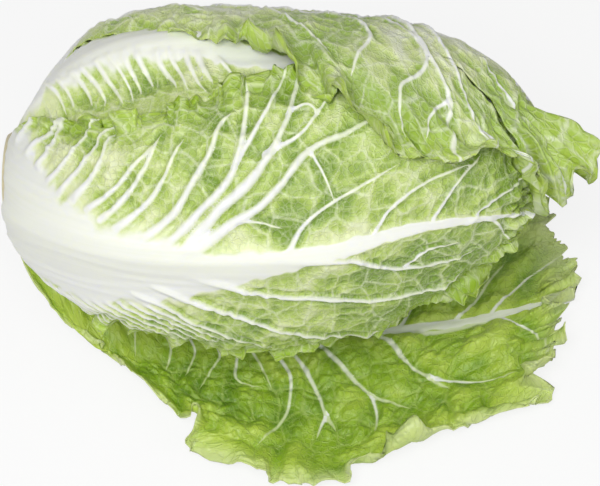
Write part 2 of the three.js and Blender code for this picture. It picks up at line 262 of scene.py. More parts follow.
# How square a leaf's outline is.
OUTLINE_POWER = 3
FULL_OUTLINE_POWER = 6
INNER = {"up": (40, 72, 88, 92, 92), "down": (40, 72, 88, 92, 92), "tip": 0.965, "turn": 0, "base_turn": 0}
OUTER = {
    1: {
        "name": "top_leaf",
        "up": (36, 60, 72, 78, 80),
        "down": (12, 27, 44, 57, 72, 88, 92, 100, 200),
        "tip": 0.95,
        "turn": 35,
        "base_turn": -22,
        "outline": FULL_OUTLINE_POWER,
    },
    2: {"name": "front_leaf", "up": (44, 54, 74, 78, 78), "down": (60, 54, 52, 54, 58), "tip": 0.94},
    3: {"name": "underside_leaf", "up": (44, 68, 78, 80, 80), "down": (44, 68, 78, 80, 80), "tip": 0.95},
    4: {"name": "upper_leaf", "up": (48, 68, 82, 84, 84), "down": (44, 64, 74, 76, 76), "tip": 0.95},
}


def leaf_at(index):
    angle = float(wrap_angle(OLDEST_LEAF_ANGLE + index * GOLDEN_ANGLE))
    usual = {**INNER, "name": f"inner_leaf_{index:02d}"}
    return {**usual, **OUTER.get(index, {}), "angle": angle, "index": index}


def length_of(leaf, s):
    return (s - FIRST) / (leaf["tip"] - FIRST)


def angle_at(leaf, s):
    """Where the midrib lies round the head at s: it may turn aside towards the tip and at the base."""
    t = length_of(leaf, s)
    return leaf["angle"] + leaf["turn"] * smooth(t, 0.5, 1) + leaf["base_turn"] * (1 - smooth(t, 0, 0.3))


def reach_at(leaf, s, side):
    """The angle that the blade covers at s, on the side of the sign of side."""
    t = length_of(leaf, s)
    return np.where(side < 0, spline(leaf["up"], t), spline(leaf["down"], t))


# A place on a leaf is (across, along): across from -1 to 1 between its margins, along from -BASE_CUT at its
# base to 1 at its tip. In these the outline is straight from the base to 0 and a rounded square beyond.
BASE_CUT = 0.75


def length_to(t):
    """The place along a leaf at a share t of its length."""
    return -BASE_CUT + (1 + BASE_CUT) * t


def share_of_length(along):
    return (along + BASE_CUT) / (1 + BASE_CUT)


def outline_point(p, q, power):
    """The place on a leaf for a place on a square grid."""

    def rounding(x):
        return (1 - x * x / 2) ** (1 / power)

    return np.where(p < 0, q, q * rounding(p)), np.where(p < 0, p, p * rounding(q))


def outline_distance(across, along, power=OUTLINE_POWER):
    """0 at the middle of a leaf and 1 at its margin."""
    return (np.abs(across) ** power + np.maximum(along, 0) ** power) ** (1 / power)


BLADE_THICKNESS = 2.2
RIB_THICKNESS = 8
RIB_WIDTH = 26
RIB_TIP_WIDTH = 4


def leaf_thickness(leaf, s, offset):
    t = np.clip(length_of(leaf, s), 0, 1)
    width = RIB_WIDTH * (1 - t) ** 2 + RIB_TIP_WIDTH
    arc = np.radians(offset) * (barrel_r(s) + CORE_RADIUS)
    return BLADE_THICKNESS + RIB_THICKNESS * (1 - t) ** 1.4 * swell(arc, 0, width)


# How the leaves lie on each other: the level of what each leaf lies on, over the whole head.
HEART_LEVEL = 0.24
LEAF_GAP = 2.4
ROWS = 48
COLUMNS = 90
ROW_S = (np.arange(ROWS + 1) / ROWS)[:, None]
COLUMN_THETA = (np.arange(COLUMNS) * 360 / COLUMNS)[None, :]


def shifted(surface, rows, columns):
    index = np.clip(np.arange(ROWS + 1) + rows, 0, ROWS)
    return np.roll(surface[index], -columns, axis=1)


def bridged(surface, passes=5):
    """The surface as a stiff leaf lies on it, without its narrow hollows."""
    now = np.max([shifted(surface, i, j) for i in (-1, 0, 1) for j in range(-3, 4)], axis=0)
    for _ in range(passes):
        mean = np.mean([shifted(now, i, j) for i in (-1, 0, 1) for j in (-1, 0, 1)], axis=0)
        now = np.maximum(surface, mean)
    return now


def pack(leaves, squeeze):
    """What each leaf lies on, and the outside of the head."""
    surface = np.full((ROWS + 1, COLUMNS), HEART_LEVEL)
    beds = {}
    for leaf in leaves:
        bed = bridged(surface)
        offset = wrap_angle(COLUMN_THETA - angle_at(leaf, ROW_S))
        across = offset / reach_at(leaf, ROW_S, offset)
        along = length_to(length_of(leaf, ROW_S))
        inside = 1 - smooth(outline_distance(across, along), 1, 1.25)
        added = (LEAF_GAP + leaf_thickness(leaf, ROW_S, offset)) * squeeze[:, None] / level_size(ROW_S)
        beds[leaf["name"]] = bed
        surface = np.where(inside > 0, np.maximum(surface, bed + added * inside), surface)
    return beds, surface


LEAVES = [leaf_at(index) for index in range(LEAF_COUNT - 1, 0, -1)]
loose = pack(LEAVES, np.ones(ROWS + 1))[1]
SQUEEZE = (1 - HEART_LEVEL) / (loose.mean(axis=1) - HEART_LEVEL)
BEDS, packed = pack(LEAVES, SQUEEZE)
lowest = np.max(-packed * barrel_r(ROW_S) * section(COLUMN_THETA) * np.cos(np.radians(COLUMN_THETA)))
# The head lies on the spread leaf, whose blade and rib are this thick.
SPREAD_BLADE = 2.4
SPREAD_RIB = 4.5
REST_CLEARANCE = 1
AXIS_HEIGHT = lowest + SPREAD_BLADE + SPREAD_RIB + REST_CLEARANCE


def sampled(surface, s, theta):
    """The level of a surface at any place, on a smooth curve through its cells."""

    def weights(t):
        return (
            ((2 - t) * t - 1) * t / 2,
            ((3 * t - 5) * t * t + 2) / 2,
            ((4 - 3 * t) * t + 1) * t / 2,
            (t - 1) * t * t / 2,
        )

    row = np.clip(s, 0, 1) * ROWS
    column = np.mod(theta, 360) * COLUMNS / 360
    i, j = np.floor(row).astype(int), np.floor(column).astype(int)
    total = 0
    for a, wa in zip((-1, 0, 1, 2), weights(row - i)):
        for b, wb in zip((-1, 0, 1, 2), weights(column - j)):
            total = total + wa * wb * surface[np.clip(i + a, 0, ROWS), (j + b) % COLUMNS]
    return total


# Patterns over a leaf, from places u along it and v across it in millimetres. They repeat after this many
# cells.
LATTICE = 64


def noise(u, v, size, seed):
    """Smooth noise from -1 to 1. size is that of its cells: one number, or one along u and one along v."""
    size_u, size_v = np.broadcast_to(size, 2)
    u, v = u / size_u, v / size_v
    i, j = np.floor(u).astype(int), np.floor(v).astype(int)
    a, b = smooth(u - i, 0, 1), smooth(v - j, 0, 1)
    i, j = i % LATTICE, j % LATTICE
    next_i, next_j = (i + 1) % LATTICE, (j + 1) % LATTICE
    lattice = np.random.default_rng(seed).uniform(-1, 1, (LATTICE, LATTICE))
    low = lerp(lattice[i, j], lattice[i, next_j], b)
    return lerp(low, lerp(lattice[next_i, j], lattice[next_i, next_j], b), a)


def cells(u, v, size, seed):
    """Distance in millimetres to the border between cells of about that size, as small veins divide a
    leaf."""
    jitter = np.random.default_rng(seed).uniform(0.08, 0.92, (LATTICE, LATTICE, 2))
    x, y = u / size, v / size
    i, j = np.floor(x).astype(int), np.floor(y).astype(int)
    to_x, to_y = [], []
    for a in range(-2, 3):
        for b in range(-2, 3):
            place = jitter[(i + a) % LATTICE, (j + b) % LATTICE]
            to_x.append(i + a + place[..., 0] - x)
            to_y.append(j + b + place[..., 1] - y)
    nearest = np.argmin(np.hypot(to_x, to_y), axis=0)[None]
    near_x, near_y = (np.take_along_axis(np.array(way), nearest, 0) for way in (to_x, to_y))
    dx, dy = to_x - near_x, to_y - near_y
    apart = np.hypot(dx, dy)
    middle = ((to_x + near_x) * dx + (to_y + near_y) * dy) / 2 / np.maximum(apart, 1e-6)
    return np.min(np.where(apart > 1e-4, middle, 9.0), axis=0) * size


def crumple(u, v, size, seed):
    """Sharp creases and rounded swellings of about that size, from -1 to 1."""
    x = u + size * 0.5 * noise(u, v, size, seed + 16)
    y = v + size * 0.5 * noise(u + 17 * size, v, size, seed + 17)
    small = size / 2.1
    ridges = 0.65 * (1 - 2 * np.abs(noise(x, y, size, seed + 18)))
    return -ridges - 0.35 * (1 - 2 * np.abs(noise(x + 5 * small, y, small, seed + 19)))


def curve_points(points, step=3.0):
    """Points about step apart on a smooth curve through the given ones."""
    points = np.asarray(points, float)
    length = np.hypot(*np.diff(points, axis=0).T).sum()
    t = np.linspace(0, 1, max(int(length / step), 2) + 1)
    return np.stack([spline(points[:, k], t) for k in range(points.shape[1])], -1)


# Places further than this from a vein don't feel it, and distances in half-widths are told apart up to this
# many.
VEIN_REACH = 30.0
FAR = 6.0


def vein_field(u, v, veins):
    """For each place, by its nearest vein: the distance across it in half-widths, negative on one side of a
    fine one; the distance beyond its edge; the distance from its middle; how far along it is; and the
    height of its ridge. A vein is (points, half-width at its start, at its end, height at its start)."""
    across, beyond, second = (np.full(u.shape, FAR) for _ in range(3))
    share, ridge = np.zeros(u.shape), np.zeros(u.shape)
    away = np.full(u.shape, VEIN_REACH)
    for points, start, end, height in veins:
        path = curve_points(points)
        low, high = path.min(0) - VEIN_REACH, path.max(0) + VEIN_REACH
        near = (u > low[0]) & (u < high[0]) & (v > low[1]) & (v < high[1])
        x, y = u[near], v[near]
        best, where, side = np.full(x.shape, np.inf), np.zeros(x.shape), np.ones(x.shape)
        for k in range(len(path) - 1):
            a = path[k]
            d = path[k + 1] - a
            t = np.clip(((x - a[0]) * d[0] + (y - a[1]) * d[1]) / (d @ d), 0, 1)
            apart = np.hypot(x - a[0] - t * d[0], y - a[1] - t * d[1])
            closer = apart < best
            best = np.where(closer, apart, best)
            where = np.where(closer, (k + t) / (len(path) - 1), where)
            side = np.where(closer, np.sign((x - a[0]) * d[1] - (y - a[1]) * d[0]), side)
        half = lerp(start, end, where) * (1 - smooth(where, 0.85, 1.05))
        half = np.maximum(half * (1 + 0.18 * noise(x, y, 8, 5)), 0.05)
        edge = best - half
        nearer = edge < beyond[near]
        second[near] = np.minimum(second[near], np.where(nearer, beyond[near], edge))
        # Only on a fine vein does the side count: it keeps the middle of one that is narrower than the mesh.
        side = np.where(half > 1.2, 1, side)
        across[near] = np.where(nearer, side * np.minimum(best / half, FAR), across[near])
        share[near] = np.where(nearer, where, share[near])
        beyond[near] = np.where(nearer, edge, beyond[near])
        away[near] = np.minimum(away[near], best)
        # The ridge rises smoothly from the midrib and falls to under a third of its height at the vein's end.
        rise = height * (1 - 0.7 * where) * smooth(where, -0.04, 0.2)
        ridge[near] = np.maximum(ridge[near], rise * swell(best, 0, np.maximum(half * 1.2, 1.5)))
    # Where two veins meet they fill the corner between them.
    return across * smooth(second, 0.6, 1.4), beyond, away, share, ridge


# A real leaf is under a millimetre thick between its veins. Each is one closed sheet: a fine side, which is
# the one that shows, and a backing with half as many rows and columns. This share scales the rows and
# columns of both.
FINENESS = 1.0


def even(number):
    return 2 * round(number / 2)


def make_grid(rows, columns, tear=None, dense=(0, 0.5)):
    """The places (p, q) of a leaf's grid, its faces on both sides and the walk round its edge. dense = (q,
    share) puts that share of the columns above q. A tear (row, column) splits the blade, and above says
    which places lie above it."""
    q = np.interp(np.linspace(0, 1, columns + 1), [0, 1 - dense[1], 1], [-1, dense[0], 1])
    p = np.linspace(-BASE_CUT, 1, rows + 1)
    row, column = tear or (rows, columns)
    if tear:
        q = np.insert(q, column + 1, q[column])
    number = np.arange(len(p) * len(q)).reshape(len(p), len(q))
    if tear:
        number[: row + 1, column + 1] = number[: row + 1, column]
    last = len(q) - 1

    def quads(steps_p, steps_q):
        a, b = np.meshgrid(np.arange(len(steps_p) - 1), np.arange(len(steps_q) - 1), indexing="ij")
        if tear:
            keep = np.array(steps_q)[b] != column
            a, b = a[keep], b[keep]
        i, i2 = np.array(steps_p)[a].ravel(), np.array(steps_p)[a + 1].ravel()
        j, j2 = np.array(steps_q)[b].ravel(), np.array(steps_q)[b + 1].ravel()
        return np.stack([number[i, j], number[i, j2], number[i2, j2], number[i2, j]], -1)

    kept = list(range(0, column + 1, 2))
    walk = [(0, j) for j in range(last + 1) if not (tear and j == column + 1)]
    walk += [(i, last) for i in range(1, rows + 1)]
    if tear:
        kept += list(range(column + 1, last + 1, 2))
        walk += [(rows, j) for j in range(last - 1, column, -1)]
        walk += [(i, column + 1) for i in range(rows - 1, row - 1, -1)]
        walk += [(i, column) for i in range(row + 1, rows + 1)]
        walk += [(rows, j) for j in range(column - 1, -1, -1)]
    else:
        walk += [(rows, j) for j in range(last - 1, -1, -1)]
    walk += [(i, 0) for i in range(rows - 1, 0, -1)]
    above = np.broadcast_to(np.arange(last + 1) <= column, number.shape)
    p, q = np.meshgrid(p, q, indexing="ij")
    return {
        "p": p,
        "q": q,
        "fine": quads(range(rows + 1), range(last + 1)),
        "coarse": quads(range(0, rows + 1, 2), kept),
        "walk": np.array([number[w] for w in walk]),
        "above": above,
    }


def make_object(name, fine, back, grid, values, flip=False):
    """A closed sheet from the fine side and the backing, both arrays of points in millimetres over the
    grid. values are numbers or vectors for each place, which the material reads by name."""
    count = fine.shape[0] * fine.shape[1]
    points = np.concatenate([fine.reshape(-1, 3), back.reshape(-1, 3)])
    walk = grid["walk"]
    a, b, c = walk[0::2], walk[1::2], np.roll(walk[0::2], -1)
    quads = np.concatenate([grid["fine"], grid["coarse"][:, ::-1] + count])
    corners = ((b, a, a + count), (b, a + count, c + count), (c, b, c + count))
    rim = np.concatenate([np.stack(triangle, -1) for triangle in corners])
    if flip:
        quads, rim = quads[:, ::-1], rim[:, ::-1]
    used, index = np.unique(np.concatenate([quads.ravel(), rim.ravel()]), return_inverse=True)
    mesh = bpy.data.meshes.new(name)
    mesh.vertices.add(len(used))
    mesh.vertices.foreach_set("co", (points[used] * MM).ravel())
    mesh.loops.add(len(index))
    mesh.loops.foreach_set("vertex_index", index)
    starts = np.concatenate([np.arange(len(quads)) * 4, quads.size + np.arange(len(rim)) * 3])
    mesh.polygons.add(len(starts))
    mesh.polygons.foreach_set("loop_start", starts)
    mesh.update(calc_edges=True)
    mesh.validate()
    mesh.polygons.foreach_set("use_smooth", np.ones(len(mesh.polygons), bool))
    for key, value in values.items():
        vector = value.ndim == 3
        attribute = mesh.attributes.new(key, "FLOAT_VECTOR" if vector else "FLOAT", "POINT")
        flat = value.reshape(count, -1)
        flat = np.concatenate([flat, flat])[used]
        attribute.data.foreach_set("vector" if vector else "value", flat.astype(np.float32).ravel())
    thing = bpy.data.objects.new(name, mesh)
    bpy.context.scene.collection.objects.link(thing)
    return thing


def frames(surface, across, along):
    """The surface's points there with its unit directions: outwards, along the leaf and across it."""
    small = 1e-3
    here = surface(across, along)
    up = surface(across, along + small) - surface(across, along - small)
    side = surface(across + small, along) - surface(across - small, along)
    out = np.cross(side, up)
    return here, *(x / np.maximum(np.linalg.norm(x, axis=-1, keepdims=True), 1e-9) for x in (out, up, side))


# Below, margin is the distance round a leaf's margin in millimetres, and edge goes from 0 at the middle of
# the blade to 1 at the margin.


def ruffles(leaf, margin, edge, seed):
    """The folds of a frilly margin, as shifts in millimetres: outwards and along the margin."""
    width, height, length = leaf["frill"]
    small_length = 0.37 * length
    grow = smooth(edge, 1 - width, 1.0) ** 1.2
    uneven = 0.6 + 0.55 * noise(margin, edge, (19, 1), seed + 1)
    phase = 2 * math.pi * margin / length + 2.6 * noise(margin, edge, (27, 0.4), seed)
    small = 2 * math.pi * margin / small_length + 2.6 * noise(margin, edge, (13, 1 / 3), seed + 2)
    fold = uneven * np.sin(phase)
    out = height * grow * (fold + 0.3 * grow * np.sin(small))
    lean = 0.55 * height * noise(margin, edge, (35, 1), seed + 15)
    sharpen = 0.03 * length * np.sin(2 * small) - 0.1 * length * uneven * np.sin(2 * phase)
    return out, grow * (lean * fold + sharpen)


def rolled(leaf, margin, edge, keep, seed):
    """The margin where it curls back over the blade: how far it rises and is drawn in, in millimetres, and
    how far it has turned over."""
    width, radius = leaf["curl"]
    patch = smooth(noise(margin, 0, 19, seed + 30), -0.45, 0.6) * np.clip(keep, 0, 1)
    length = np.maximum(width * patch - (1 - edge) * leaf["half"], 0)
    length = length * (1 + 0.3 * noise(margin, edge, (5, 1 / 9), seed + 31))
    radius = radius * (1 + 0.25 * noise(margin, 0, 8, seed + 32))
    turn = length / radius
    return radius * (1 - np.cos(turn)), length - radius * np.sin(turn), turn


def leaf_values(leaf, u, v, edge, seed):
    """What the material needs at each place of a leaf, and the height of the veins, nets and puckers
    there."""
    t = np.clip(u / leaf["length"], 0, 1)
    frayed = 1 + leaf["fray"] * noise(u + v / 2, v - 0.7 * u, (4.5, 14), seed + 3)
    # The rib is 1 at the edge of the midrib and more beyond it.
    rib = np.abs(v - spline(leaf["midrib"], t)) / np.maximum(spline(leaf["rib"], t) * frayed, 0.6)
    blade = smooth(rib, 0.95, 1.7)
    wander = 1.3 * noise(u, v, 15, seed + 20), 1.3 * noise(u + 135, v, 15, seed + 21)
    across, beyond, away, share, ridge = vein_field(u + wander[0], v + wander[1], leaf["veins"])
    warp = 2.6 * noise(u, v, 9, seed + 4), 2.6 * noise(u + 279, v, 9, seed + 5)
    net = cells(u + warp[0], v + warp[1], leaf["cell"], seed + 6)
    small_net = cells(u + warp[0], v + warp[1], leaf["cell"] * 0.45, seed + 22)
    # Beside a vein the blade is creased, between veins it bulges, and within each net it is puckered.
    crease = -leaf["crease"] * swell(beyond, 1.6, 1.3) * smooth(rib, 0.9, 1.2)
    bulge = leaf["bulge"] * (1 - swell(away, 0, 7)) * blade
    domes = 1 - swell(net, 0, 3.2) + 0.85 * (1 - swell(small_net, 0, 1.5))
    pucker = leaf["pucker"] * domes * blade * (0.75 + 0.5 * noise(u, v, 13, seed + 7))
    wave = leaf["wave"] * blade * (1.3 * noise(u, v, 24, seed + 8) + 0.7 * noise(u, v, 10, seed + 9))
    size, depth = leaf["crumple"]
    crumpled = crumple(u, v, size, seed) * depth * smooth(edge, *leaf["crumpled"]) * blade
    grooves = 0.14 * np.sin(v * 0.8 + 3 * noise(u, v, (50, 12), seed + 10)) * (1 - blade)
    relief = leaf["vein_relief"] * ridge + crease + bulge + pucker + wave + grooves + crumpled
    # This value goes from pale (0) to deep green (1): paler beside the midrib and deeper at the margin, in
    # the leaf's own colour; deeper beside the veins and in hollows, which is painted shade, and paler on
    # rises, which is painted light.
    tone_and_painted_shade = 0.5 + 0.2 * noise(u, v, 33, seed + 11) + 0.25 * noise(u, v, 9, seed + 12)
    tone_and_painted_shade = tone_and_painted_shade - 0.5 * swell(rib, 0, 2.6) + leaf["deepen"] * smooth(edge, 0.55, 0.95)
    # Painted shade and light: hollows of the puckers, waves and crumples are painted deeper green and their
    # rises paler, and the blade just beside each vein's edge is painted deeper green.
    hollow = -leaf["shade"] * (pucker + wave + crumpled)
    tone_and_painted_shade = tone_and_painted_shade + 0.2 * swell(beyond, 1.2, 1.6) + np.clip(hollow, -0.45, 0.45)
    values = {
        "rib": np.minimum(rib, 4),
        "vein": np.stack([across, np.maximum(beyond, 0), share], -1),
        "net": np.minimum(net, 4),
        "small_net": np.minimum(small_net, 4),
        "tone_and_painted_shade": np.clip(tone_and_painted_shade, 0, 1),
        "edge": edge,
        "leaf_mm": np.stack([u, v, np.full(u.shape, 40.0 * seed)], -1),
    }
    return values, relief


# How round a leaf's tip is, for the distance round its margin.
TIP_RADIUS = 145


def margin_distance(u, across, along, length):
    """How far round the margin a place is, in millimetres, from the base up one side, round the tip and
    down."""
    start = share_of_length(0) * length
    turn = np.arctan2(np.maximum(along, 0), np.abs(across) + 1e-6)
    way = np.where(along > 0, start + turn * TIP_RADIUS, u)
    return np.where(across < 0, way, 2 * start + math.pi * TIP_RADIUS - way)


def notched(leaf, across, along, margin, edge, seed):
    """The outline with its irregular lobes of about 13 mm, teeth of about 4 mm and single notches."""
    lobes = np.abs(noise(margin, 0, 13, seed + 13)) + 0.35 * np.abs(noise(margin, 0, 4.1, seed + 14))
    inwards = leaf["teeth"] * lobes
    for place, deep, half in leaf["cuts"]:
        inwards = inwards + deep * swell(margin, place, half)
    off_base = smooth(along, -BASE_CUT, -BASE_CUT + 0.12)
    pull = 1 - inwards * smooth(edge, 0.72, 1) / leaf["half"] * off_base
    return across * pull, np.where(along > 0, along * pull, along)


def folded(here, outwards, up, side, across, along, out, way, roll, thick):
    """The fine side and the backing of a blade that is ruffled, by out from it and by way along its margin,
    and rolled back at its margin."""
    in_across, in_along = np.sign(across) * across**2, np.maximum(along, 0) ** 2
    size = np.hypot(in_across, in_along) + 1e-6
    in_across, in_along = (in_across / size)[..., None], (in_along / size)[..., None]
    inwards = -side * in_across - up * in_along
    rise, drawn, turn = (x[..., None] for x in roll)
    fine = here + outwards * (out[..., None] + rise) + inwards * drawn
    fine = fine + (side * in_along - up * in_across) * way[..., None]
    return fine, fine - (outwards * np.cos(turn) + inwards * np.sin(turn)) * thick[..., None]


def covered(leaf, s, theta):
    """1 where an older leaf lies over the place and 0 where none does."""
    over = np.zeros(np.shape(theta))
    for index in range(1, leaf["index"]):
        older = leaf_at(index)
        offset = wrap_angle(theta - angle_at(older, s))
        across = offset / reach_at(older, s, offset)
        along = length_to(length_of(older, s))
        inside = outline_distance(across, along, older.get("outline", OUTLINE_POWER))
        over = np.maximum(over, 1 - smooth(inside, 0.88, 1.0))
    return over


SHOULDER = 12


def shoulder(s, theta):
    """How much fuller the head is behind its top, near its base, in millimetres."""
    return SHOULDER * smooth(s, 0, 0.1) * swell(s, 0.2, 0.22) * swell(wrap_angle(theta + 60), 0, 38)


# What a leaf is like unless it says otherwise. Sizes are in millimetres, and shares go from the middle of
# the blade (0) to its margin (1). Lists give values at even steps along the leaf.
PLAIN = {
    "half": 105,  # from the midrib to the margin
    "midrib": (0, 0, 0),  # how far aside the midrib's middle lies
    "rib": (60, 34, 18, 9, 5, 4, 2),  # half the midrib's width
    "fray": 0.28,  # how unevenly its white ends, as a share of its width
    "cell": 16,  # width of the fields between small veins
    "bulge": -1.0,  # how far the blade stands out between the large veins
    "pucker": -1.0,  # and in each field
    "wave": 0.9,  # and at large
    "crease": 0.6,  # how deep it lies beside a vein
    "crumple": (13, 1.6),  # size and depth of the creases near the margin
    "crumpled": (0.6, 0.95),  # the shares between which they grow
    "shade": 0.19,  # painted shade: how much deeper green a hollow of 1 mm is painted, and how much paler a rise
    "vein_relief": 1.0,  # how far the veins stand out, as a share of their own heights
    "deepen": 0.1,  # how much deeper green the margin is
    "teeth": 2.0,  # depth of the lobes and teeth
    "cuts": (),  # single notches: place round the margin, depth, half-width
    "stand": (-2.0, 0.6),  # how far the margin stands off the head, at the base and at the tip
    "frill": (0.16, 2.6, 21.0),  # share of the blade that is ruffled, height and spacing of the ruffles
    "frill_sides": (1.0, 1.0),  # their strength above and below the midrib
    "frill_turn": (-0.1, 0.1),  # the places across the leaf between which it changes
    "curl": (0.0, 4.0),  # width of the margin that rolls back over the blade, and the radius that it rolls to
    "tight": (-0.72, -0.45),  # the places along the leaf between which its margin comes free
    "lobe": None,  # a function that turns aside and lifts a torn part
    "outline": OUTLINE_POWER,
}
# How far a covered margin stands off at most, and how thick the sheets are drawn on the blade.
TUCKED = -1.5
SHEET = 0.9


def head_leaf(leaf, rows, columns, tear=None, dense=(0, 0.5), drawn=None):
    """One leaf of the head as an object, where the frame's leaf of that name lies. A tear is given by the
    shares of the rows and of the columns where it starts; drawn moves the columns across the leaf."""
    rows, columns = even(rows * FINENESS), even(columns * FINENESS)
    tear = (even(rows * tear[0]), even(columns * tear[1])) if tear else None
    grid = make_grid(rows, columns, tear, dense)
    if drawn:
        grid["q"] = drawn(grid["p"], grid["q"])
    seed = leaf["index"] * 31
    bed = BEDS[leaf["name"]]
    length = (leaf["tip"] - FIRST) * BARREL_LENGTH
    leaf = {**PLAIN, "length": length, **leaf}
    aside, lift = leaf["lobe"](grid) if leaf["lobe"] else (0, 0)

    def place(across, along):
        s = FIRST + (leaf["tip"] - FIRST) * share_of_length(along)
        return s, across * reach_at(leaf, s, across) + aside

    def surface(across, along):
        s, offset = place(across, along)
        theta = angle_at(leaf, s) + offset
        squeeze = np.interp(s, ROW_S[:, 0], SQUEEZE)
        outwards = (LEAF_GAP + leaf_thickness(leaf, s, offset)) * squeeze + lift + shoulder(s, theta)
        return head_point(s, theta, sampled(bed, s, theta) + outwards / level_size(s), AXIS_HEIGHT)

    # How freely the margin moves is settled on the plain outline, before the teeth are cut.
    across, along = outline_point(grid["p"], grid["q"], leaf["outline"])
    edge = outline_distance(across, along, leaf["outline"])
    s, offset = place(across, along)
    margin = margin_distance((s - FIRST) * BARREL_LENGTH, across, along, length)
    over = covered(leaf, s, angle_at(leaf, s) + offset)
    sides = lerp(*leaf["frill_sides"], smooth(across, *leaf["frill_turn"]))
    keep = smooth(along, *leaf["tight"]) * sides * (1 - over)
    roll = rolled(leaf, margin, edge, keep, seed)
    out, way = (shift * keep for shift in ruffles(leaf, margin, edge, seed))
    across, along = notched(leaf, across, along, margin, edge, seed)
    s, offset = place(across, along)
    v = np.radians(offset) * barrel_r(s)
    values, relief = leaf_values(leaf, (s - FIRST) * BARREL_LENGTH, v, edge, seed)
    here, outwards, up, side = frames(surface, across, along)
    # Ruffles go less far into the head than out of it.
    out = np.maximum(out, -0.25 * leaf["frill"][1])
    stand = lerp(*leaf["stand"], smooth(along, -0.3, 0.35))
    out = out + lerp(stand, np.minimum(stand, TUCKED), over) * smooth(edge, 0.6, 1)
    thick = SHEET + 0.8 * (leaf_thickness(leaf, s, offset) - BLADE_THICKNESS)
    thick = thick * smooth(np.minimum(1 - edge, 0.06), -0.04, 0.06)
    fine, back = folded(here, outwards, up, side, across, along, relief + out, way, roll, thick)
    return make_object(leaf["name"], fine, back, grid, values)


